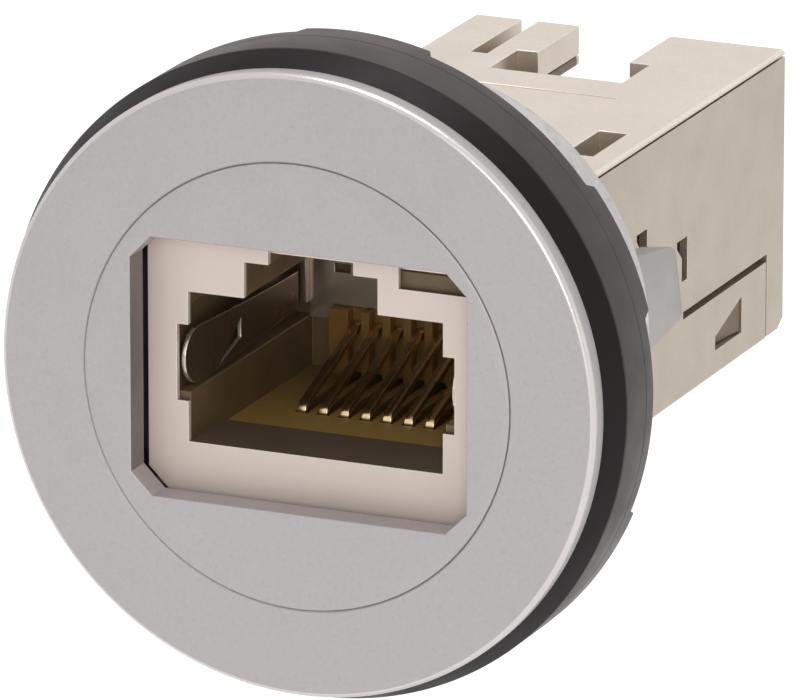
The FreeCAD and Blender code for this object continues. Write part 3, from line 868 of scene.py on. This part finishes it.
@dataclass
class BezelHead:
    """The silver ring and the disc inside it, whose window shows the front socket."""

    joint_gap: float = 0.012
    joint_bevel: float = 0.08
    joint_corner: float = 0.03
    corner: float = 0.04
    rim_radius: float = 0.3
    rim_highlight_facing: Span = (-0.96, -0.15)
    rim_highlight_band: float = 1.0
    window_room: float = 0.46
    window_x: float = 0.1
    window_top: float = 6.0
    window_bottom: float = 5.72
    window_chamfer: float = 1.0
    window_bevel: float = 0.07
    wall_shade_facing: float = 0.8
    wall_shade_band: float = 0.5

    def window(self) -> list[Point]:
        """Gives the window's outline, a rectangle with cut corners.

        Returns:
            Its (x, z) points.
        """
        shell_low, shell_high = limits("side_shell")
        half = (shell_high.x - shell_low.x + self.window_room) / 2
        left, right = self.window_x - half, self.window_x + half
        top, bottom, cut = self.window_top, -self.window_bottom, self.window_chamfer
        return [(left + cut, bottom), (right - cut, bottom), (right, bottom + cut),
                (right, top - cut), (right - cut, top), (left + cut, top), (left, top - cut),
                (left, bottom + cut)]

    def build_ring(self) -> None:
        """Makes the ring, with a glossier rim whose lighter colour is a painted highlight."""
        low, high = limits("bezel_ring")
        outer = high.x
        inner = limits("face_disc")[1].x + self.joint_gap
        ring = turned("silver_ring", [
            (inner, low.y + self.joint_bevel, self.joint_corner),
            (inner + self.joint_bevel, low.y, self.corner), (outer, low.y, self.rim_radius),
            (outer, high.y, self.corner), (inner, high.y, self.joint_corner)])
        # Outer faces that face between these limits get the painted highlight.
        least, most = self.rim_highlight_facing
        for face in ring.data.polygons:
            outside = face.center.xz.length > (outer - self.rim_highlight_band) * MM
            face.material_index = EDGE if outside and least < face.normal.y < most else BROAD
        settle(ring, SILVER, "bezel_ring", SILVER_RIM_HIGHLIGHT)

    def build_disc(self) -> None:
        """Makes the disc, with painted shade: darker walls in its window."""
        low, high = limits("face_disc")
        radius = high.x
        turn = 2 * math.pi / ROUND_STEPS
        edge = [(radius * math.cos(turn * i), radius * math.sin(turn * i))
                for i in range(ROUND_STEPS)]
        disc = plate("silver_disc", [edge, self.window()], (low.y, high.y), self.window_bevel)
        # Sideways walls of the window get the painted shade.
        for face in disc.data.polygons:
            inside = face.center.xz.length < (radius - self.wall_shade_band) * MM
            sideways = abs(face.normal.x) > self.wall_shade_facing
            face.material_index = EDGE if inside and sideways else BROAD
        settle(disc, SILVER, "face_disc", SILVER_WALL_SHADE)

    def build(self) -> None:
        """Makes both pieces."""
        self.build_ring()
        self.build_disc()


@dataclass
class FlangeAndSeal:
    """The black flange under the bezel and the rubber seal round its skirt."""

    fit: float = 0.02
    core_radius: float = 2.0
    web_step: float = 0.3
    seat_width: float = 0.44
    seat_corner: float = 0.05
    cone_height: float = 1.18
    cone_edge: float = 0.08
    cone_corner: float = 0.1
    skirt_wall: float = 0.88
    corner: float = 0.03
    fine_corner: float = 0.02
    lip_width: float = 1.1
    hole_room: float = 0.05
    hole_corner: float = 0.05
    seal_edge: float = 0.07
    crease_y: float = 2.15
    crease_height: float = 0.06
    crease_depth: float = 0.05
    pads: int = 6
    pad_angle: float = 24.0
    pad_start: float = 26.0
    pad_height: float = 0.55
    pad_ramp: float = 1.2
    seal_steps: int = 720
    seal_corner_steps: int = 4

    def pad_share(self, angle: float) -> float:
        """Tells how far the seal's back stands out at an angle.

        Args:
            angle: Direction from +X towards +Z, in radians.

        Returns:
            1 on a pad, 0 in a dip, and between them on a pad's ramp.
        """
        pitch = 360.0 / self.pads
        offset = abs((math.degrees(angle) - self.pad_start + pitch / 2) % pitch - pitch / 2)
        share = (self.pad_angle / 2 + self.pad_ramp / 2 - offset) / self.pad_ramp
        share = min(1.0, max(0.0, share))
        return share * share * (3 - 2 * share)

    def build_flange(self) -> None:
        """Makes the flange with the cone that shows behind the ring."""
        high = limits("bezel_carrier")[1]
        ring_high = limits("bezel_ring")[1]
        disc_high = limits("face_disc")[1]
        neck_low, neck_high = limits("neck_sleeve")
        seat = disc_high.x + 2 * self.fit
        chamber = seat - self.seat_width - self.fit
        pocket = neck_high.x + self.fit
        skirt = pocket + self.skirt_wall
        cone_back = ring_high.y + self.cone_height
        web_back = neck_low.y - self.fit
        web_front = limits("front_plate")[0].y + self.web_step
        flange = turned("black_flange", [
            (self.core_radius, web_front, 0.0), (chamber, web_front, self.seat_corner),
            (chamber, disc_high.y, self.corner), (seat, disc_high.y, 0.0),
            (seat, ring_high.y, 0.0), (ring_high.x, ring_high.y, self.fine_corner),
            (high.x, cone_back - self.cone_edge, self.cone_corner),
            (high.x, cone_back, self.fine_corner), (skirt, cone_back, 0.0),
            (skirt, high.y, self.corner), (pocket, high.y, self.corner), (pocket, web_back, 0.0),
            (self.core_radius, web_back, 0.0)])
        cut_away(flange, [shell_passage(web_front, web_back)])
        settle(flange, BLACK_PLASTIC, "bezel_carrier")

    def build_seal(self) -> None:
        """Makes the seal with its six pads."""
        low, high = limits("panel_seal")
        neck_low, neck_high = limits("neck_sleeve")
        lip = high.x - self.lip_width + self.fit
        hole = neck_high.x - ThreadedNeck.flange_width + self.hole_room
        shelf = neck_low.y + ThreadedNeck.flange_height + self.fit
        crease, rise = low.y + self.crease_y, self.crease_height / 2

        def section(angle: float) -> list[Point]:
            """Gives the seal's section at an angle.

            Args:
                angle: Direction from +X towards +Z, in radians.

            Returns:
                The section's (radius, y) points.
            """
            back = -self.pad_height * (1.0 - self.pad_share(angle))
            return rounded([
                (lip, low.y, self.corner), (high.x, low.y, self.seal_edge),
                (high.x, crease - rise, 0.0), (high.x - self.crease_depth, crease, 0.0),
                (high.x, crease + rise, 0.0), (high.x, back, self.seal_edge),
                (hole, back, self.hole_corner), (hole, shelf, 0.0), (lip, shelf, 0.0),
            ], self.seal_corner_steps)

        seal = lathe("rubber_seal", section, self.seal_steps, LATHED_SHARP_TURN)
        settle(seal, RUBBER, "panel_seal")

    def build(self) -> None:
        """Makes both pieces."""
        self.build_flange()
        self.build_seal()


@dataclass
class ThreadedNeck:
    """The grey neck with its screw thread and two rear fingers."""

    flange_width: float = 1.55
    flange_height: float = 0.8
    wall: float = 1.55
    corner: float = 0.04
    relief: float = 0.35
    relief_slope: float = 0.05
    bevel: float = 0.3
    bevel_soft: float = 0.02
    pitch: float = 1.5
    thread_depth: float = 0.35
    thread_start: float = 1.8
    plain_end: float = 1.6
    crest: float = 0.12
    fade: float = 0.4
    steps_per_pitch: int = 18
    finger_inset: float = 0.15
    finger_length: float = 3.5
    finger_extra: float = 0.35
    finger_root: float = 4.3
    finger_tip: float = 3.3
    finger_corner: float = 0.45
    finger_edge: float = 0.08
    finger_edge_turn: float = 50.0
    finger_angle: float = 7.0
    finger_sink: float = 1.0
    smooth_from: float = 0.02
    neck_radius: float = field(init=False)
    bore_radius: float = field(init=False)

    def __post_init__(self) -> None:
        """Takes the neck's radii from its construction."""
        self.neck_radius = limits("neck_sleeve")[1].x - self.flange_width
        self.bore_radius = self.neck_radius - self.wall

    def thread(self, angle: float, end: float) -> list[Point]:
        """Gives the screw thread's profile at an angle.

        Args:
            angle: Direction about the axis, in radians.
            end: Where the thread runs out, near the neck's rear end.

        Returns:
            The (radius, y) points, which follow the thread's helix.
        """
        points = []
        count = round((end - self.thread_start) / self.pitch * self.steps_per_pitch)
        for k in range(-self.steps_per_pitch, count + 1):
            turns = k / self.steps_per_pitch
            y = self.thread_start + self.pitch * (turns + angle / (2 * math.pi))
            y = min(end, max(self.thread_start, y))
            wave = 1.0 - abs(2.0 * (turns % 1.0) - 1.0)
            groove = max(0.0, wave - self.crest) / (1.0 - self.crest)
            fade = min(1.0, (y - self.thread_start) / self.fade, (end - y) / self.fade)
            points.append((self.neck_radius - self.thread_depth * groove * fade, y))
        return points

    def finger(self, name: str, turn: float, y: Span) -> bpy.types.Object:
        """Makes one tapered finger.

        Args:
            name: The finger's name.
            turn: Its direction from +X towards +Z, in degrees.
            y: Where its root and its tip lie, past the neck's rear face.

        Returns:
            The new object.
        """
        end, tip = y
        root = end - self.finger_sink
        half_root, half_tip = self.finger_root / 2, self.finger_tip / 2
        outline = rounded([
            (root, -half_root, 0.0), (end, -half_root, 0.0), (tip, -half_tip, self.finger_corner),
            (tip, half_tip, self.finger_corner), (end, half_root, 0.0), (root, half_root, 0.0)])
        bm = bmesh.new()
        low, top = ([self.on_cylinder(bm, radius, place, side) for place, side in outline]
                    for radius in (self.bore_radius, self.neck_radius - self.finger_inset))
        skin(bm, (low, top))
        bm.faces.new(low)
        bm.faces.new(top)
        bmesh.ops.triangulate(bm, faces=[face for face in bm.faces if len(face.verts) > 4])
        bmesh.ops.recalc_face_normals(bm, faces=bm.faces[:])
        bevel(bm, turning_edges(bm, self.finger_edge_turn), self.finger_edge)
        bmesh.ops.rotate(bm, verts=bm.verts[:], cent=(0, 0, 0),
                         matrix=Matrix.Rotation(-math.radians(turn), 3, "Y"))
        return from_bmesh(name, bm)

    @staticmethod
    def on_cylinder(bm: BMesh, radius: float, y: float, side: float) -> bmesh.types.BMVert:
        """Adds a point of a cylinder about the axis, at a sideways offset from +X."""
        return bm.verts.new((math.sqrt(radius ** 2 - side ** 2) * MM, y * MM, side * MM))

    def build(self) -> None:
        """Makes the neck as one piece."""
        low, high = limits("neck_sleeve")
        neck_r, bore_r, tip = self.neck_radius, self.bore_radius, high.y
        rear = tip - self.finger_length
        shoulder = low.y + self.flange_height
        thread_end = rear - self.plain_end
        front = rounded([
            (bore_r, low.y, 0.0), (high.x, low.y, self.corner), (high.x, shoulder, self.corner),
            (neck_r - self.relief, shoulder, 0.0), (neck_r - self.relief, 0.0, 0.0),
            (neck_r, self.relief_slope, 0.0)])
        edge, flat, soft = rear - self.bevel, neck_r - self.bevel, self.bevel_soft
        back = [(neck_r, edge - 2 * soft), (neck_r - soft, edge + soft), (flat + soft, rear - soft),
                (flat - 2.5 * soft, rear), (bore_r, rear)]

        def section(angle: float) -> list[Point]:
            """Gives the neck's section at an angle."""
            return front + self.thread(angle, thread_end) + back

        neck = lathe("threaded_neck", section, sharp=LATHED_SHARP_TURN)
        turns = {Hand.RIGHT: self.finger_angle, Hand.LEFT: self.finger_angle + 180}
        fingers = [self.finger("finger_" + hand.value, turn, (rear, tip + self.finger_extra))
                   for hand, turn in turns.items()]
        cut_away(neck, fingers, "UNION")
        cut_away(neck, [shell_passage(low.y, tip)])
        neck.data.set_sharp_from_angle(angle=math.radians(LATHED_SHARP_TURN))
        for face in neck.data.polygons:
            behind = face.center.y > (rear + self.smooth_from) * MM
            face.material_index = EDGE if behind else BROAD
        settle(neck, ZINC, "neck_sleeve", SMOOTH_ZINC)


@dataclass
class PlatedShell:
    """The cast top cover, and the folded sheet with the spring tongue that closes the shell."""

    nodes: dict[str, bpy.types.Object]
    cover_edge: float = 0.06
    sheet_edge: float = 0.05

    def build(self) -> None:
        """Makes both pieces."""
        cover = softened(self.nodes["top_cover"], "cast_cover", self.cover_edge)
        settle(cover, CAST_NICKEL, "top_cover", CAST_EDGE_HIGHLIGHT)
        sides = softened(self.nodes["side_shell"], "folded_sides", self.sheet_edge)
        settle(sides, SHEET_NICKEL, "side_shell", SHEET_EDGE_HIGHLIGHT)


@dataclass
class ModularSocket:
    """One socket: its plate, moulded insert, comb, contacts, shield springs and back shield."""

    nodes: dict[str, bpy.types.Object]
    end: End
    contacts: int = 8
    contact_pitch: float = 1.02
    wire_width: float = 0.42
    wire_thickness: float = 0.3
    wire_corner: float = 0.04
    wire_corner_steps: int = 3
    wire_rise: float = 18.9
    bend_radius: float = 0.35
    bend_steps: int = 16
    plate_edge: float = 0.05
    insert_edge: float = 0.06
    spring_edge: float = 0.03

    def wire_path(self) -> list[Point]:
        """Lays out a front contact: its tail, bend and rising arm.

        Returns:
            The (y, z) points of its middle line.
        """
        low, high = limits("front_contacts")
        half = self.wire_thickness / 2
        rise = math.radians(self.wire_rise)
        centre_y = low.y + half + self.bend_radius
        centre_z = low.z + half + self.bend_radius
        path = [(limits("circuit_board")[0].y, centre_z - self.bend_radius)]
        sweep = math.pi - rise
        for k in range(self.bend_steps + 1):
            angle = -math.pi / 2 - sweep * k / self.bend_steps
            path.append((centre_y + self.bend_radius * math.cos(angle),
                         centre_z + self.bend_radius * math.sin(angle)))
        last_y, last_z = path[-1]
        reach = (high.z - half * math.cos(rise) - last_z) / math.sin(rise)
        path.append((last_y + reach * math.cos(rise), last_z + reach * math.sin(rise)))
        return path

    def add_wire(self, bm: BMesh, x: float, path: Sequence[Point]) -> None:
        """Adds one contact wire with a rounded rectangular section.

        Args:
            bm: The geometry that gets the wire.
            x: The wire's place across the socket.
            path: Its (y, z) middle line.
        """
        w, t, c = self.wire_width / 2, self.wire_thickness / 2, self.wire_corner
        section = rounded([(-w, -t, c), (w, -t, c), (w, t, c), (-w, t, c)],
                          self.wire_corner_steps)
        rings = []
        for i, (y, z) in enumerate(path):
            before = Vector(path[max(i - 1, 0)])
            after = Vector(path[min(i + 1, len(path) - 1)])
            along = (after - before).normalized()
            across = Vector((-along.y, along.x))
            rings.append([
                bm.verts.new(((x + u) * MM, (y + across.x * v) * MM, (z + across.y * v) * MM))
                for u, v in section])
        skin(bm, rings)
        bm.faces.new(rings[0])
        bm.faces.new(rings[-1])

    def build_contacts(self) -> None:
        """Makes the row of contacts, turned about the board for the rear socket."""
        bm = bmesh.new()
        first = -self.contact_pitch * (self.contacts - 1) / 2
        path = self.wire_path()
        for i in range(self.contacts):
            self.add_wire(bm, first + self.contact_pitch * i, path)
        if self.end is End.REAR:
            low, high = limits("circuit_board")
            middle = (low.y + high.y) / 2 * MM
            for vert in bm.verts:
                vert.co.y = 2 * middle - vert.co.y
        row = from_bmesh(self.end.value + "_contact_row", bm)
        settle(row, GOLD, self.end.value + "_contacts")

    def soft_copy(self, part: str, name: str, width: float, finish: Finish,
                  edge: Optional[Finish] = None) -> None:
        """Makes a piece from one of this socket's construction nodes.

        Args:
            part: The node's name after the word front or rear.
            name: The piece's name after that word.
            width: Width of its broken edges.
            finish: Its finish.
            edge: The finish of its broken edges, if they have their own.
        """
        node = self.end.value + "_" + part
        piece = softened(self.nodes[node], self.end.value + "_" + name, width)
        settle(piece, finish, node, edge)

    def build(self) -> None:
        """Makes all the socket's pieces."""
        self.soft_copy("plate", "socket_plate", self.plate_edge, PLATE_NICKEL, PLATE_EDGE)
        self.soft_copy("insert", "socket_body", self.insert_edge, AMBER)
        self.soft_copy("comb", "contact_comb", self.spring_edge, COMB_AMBER)
        self.soft_copy("back_shield", "shield_plate", self.spring_edge, SHIELD)
        for hand in Hand:
            self.soft_copy("spring_" + hand.value, "leaf_" + hand.value, self.spring_edge,
                           STEEL, STEEL_EDGE_HIGHLIGHT)
        self.build_contacts()


@dataclass
class Softbox:
    """A square lamp that points at the coupler, with its sizes in metres."""

    name: str
    direction: Corner
    size: float
    radiance: float
    distance: float = 0.7

    def build(self) -> None:
        """Adds the lamp, with the power that gives it its radiance."""
        lamp = bpy.data.lights.new(self.name, "AREA")
        lamp.shape = "SQUARE"
        lamp.size = self.size
        lamp.energy = self.radiance * math.pi * self.size ** 2
        holder = new_object(self.name, lamp)
        towards = Vector(self.direction).normalized()
        holder.location = towards * self.distance
        holder.rotation_euler = towards.to_track_quat("Z", "Y").to_euler()


@dataclass
class Studio:
    """The floor, the light and the camera; floor_size and clip distances are in metres."""

    azimuth: float = 23.482
    elevation: float = 16.815
    distance: float = 519.13
    aim: Corner = (2.453, 0.0, 0.444)
    lens: float = 537.79
    sensor: float = 36.0
    clip_start: float = 0.01
    clip_end: float = 20.0
    floor_drop: float = 30.0
    floor_size: float = 6.0
    floor_thickness: float = 5.0
    floor_colour: tuple[float, float, float, float] = (0.9, 0.9, 0.9, 1.0)
    floor_roughness: float = 0.8
    floor_glow: float = 0.45
    sky_light: float = 0.42

    def build_camera(self) -> None:
        """Adds the camera at the photograph's place."""
        turn, tilt = math.radians(self.azimuth), math.radians(self.elevation)
        back = Vector((math.sin(turn) * math.cos(tilt), -math.cos(turn) * math.cos(tilt),
                       math.sin(tilt)))
        data = bpy.data.cameras.new("camera")
        data.lens = self.lens
        data.sensor_width = self.sensor
        data.clip_start = self.clip_start
        data.clip_end = self.clip_end
        camera = new_object("camera", data)
        camera.location = Vector(self.aim) * MM + back * self.distance * MM
        camera.rotation_euler = back.to_track_quat("Z", "Y").to_euler()
        bpy.context.scene.camera = camera

    def build_sky(self) -> None:
        """Makes the surroundings white to look at and softer as a light."""
        world = bpy.data.worlds.new("studio")
        graph = NodeGraph(world)
        output = graph.add("ShaderNodeOutputWorld")
        sky = graph.add("ShaderNodeBackground", Color=(1.0, 1.0, 1.0, 1.0))
        level = graph.spread(graph.seen_directly(), self.sky_light, 1.0, 0.0, 1.0)
        graph.join(level, sky.inputs["Strength"])
        graph.join(sky.outputs["Background"], output.inputs["Surface"])
        bpy.context.scene.world = world

    def build_floor(self) -> None:
        """Adds the pale floor, which looks white outside the coupler's shadow."""
        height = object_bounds()[0].z / MM - self.floor_drop
        half = self.floor_size / 2 / MM
        floor = block("floor", (-half, half), (-half, half),
                      (height - self.floor_thickness, height))
        material = bpy.data.materials.new("pale_floor")
        graph = SurfaceGraph(material)
        graph.shader.inputs["Base Color"].default_value = self.floor_colour
        graph.shader.inputs["Roughness"].default_value = self.floor_roughness
        glow = graph.add("ShaderNodeEmission")
        total = graph.add("ShaderNodeAddShader")
        level = graph.spread(graph.seen_directly(), 0.0, self.floor_glow, 0.0, 1.0)
        graph.join(level, glow.inputs["Strength"])
        graph.join(graph.shader.outputs["BSDF"], total.inputs[0])
        graph.join(glow.outputs["Emission"], total.inputs[1])
        graph.join(total.outputs["Shader"], graph.output.inputs["Surface"])
        floor.data.materials.append(material)
        floor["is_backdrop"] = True

    def build(self) -> None:
        """Sets up the floor, the light and the camera."""
        self.build_floor()
        self.build_sky()
        Softbox("key", (0.36, -0.9, 0.28), size=0.28, radiance=4.0).build()
        Softbox("top", (0.0, 0.0, 1.0), size=0.35, radiance=6.2).build()
        Softbox("side", (0.97, -0.15, 0.1), size=0.25, radiance=0.6).build()
        self.build_camera()
        bpy.context.scene.view_settings.view_transform = "Standard"


def clear_scene() -> None:
    """Removes the objects that Blender starts with."""
    for thing in list(bpy.data.objects):
        bpy.data.objects.remove(thing)


def main() -> None:
    """Builds every piece over the frame, and then the studio."""
    logging.basicConfig(level=logging.INFO, format="%(name)s: %(message)s")
    clear_scene()
    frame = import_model()
    nodes = frame["nodes"]
    BezelHead().build()
    FlangeAndSeal().build()
    ThreadedNeck().build()
    PlatedShell(nodes).build()
    for end in End:
        ModularSocket(nodes, end).build()
    LAMINATE.dress(nodes["circuit_board"])
    LOG.info("circuit_board: keeps the shape of its construction")
    Studio().build()


if __name__ == "__main__":
    main()
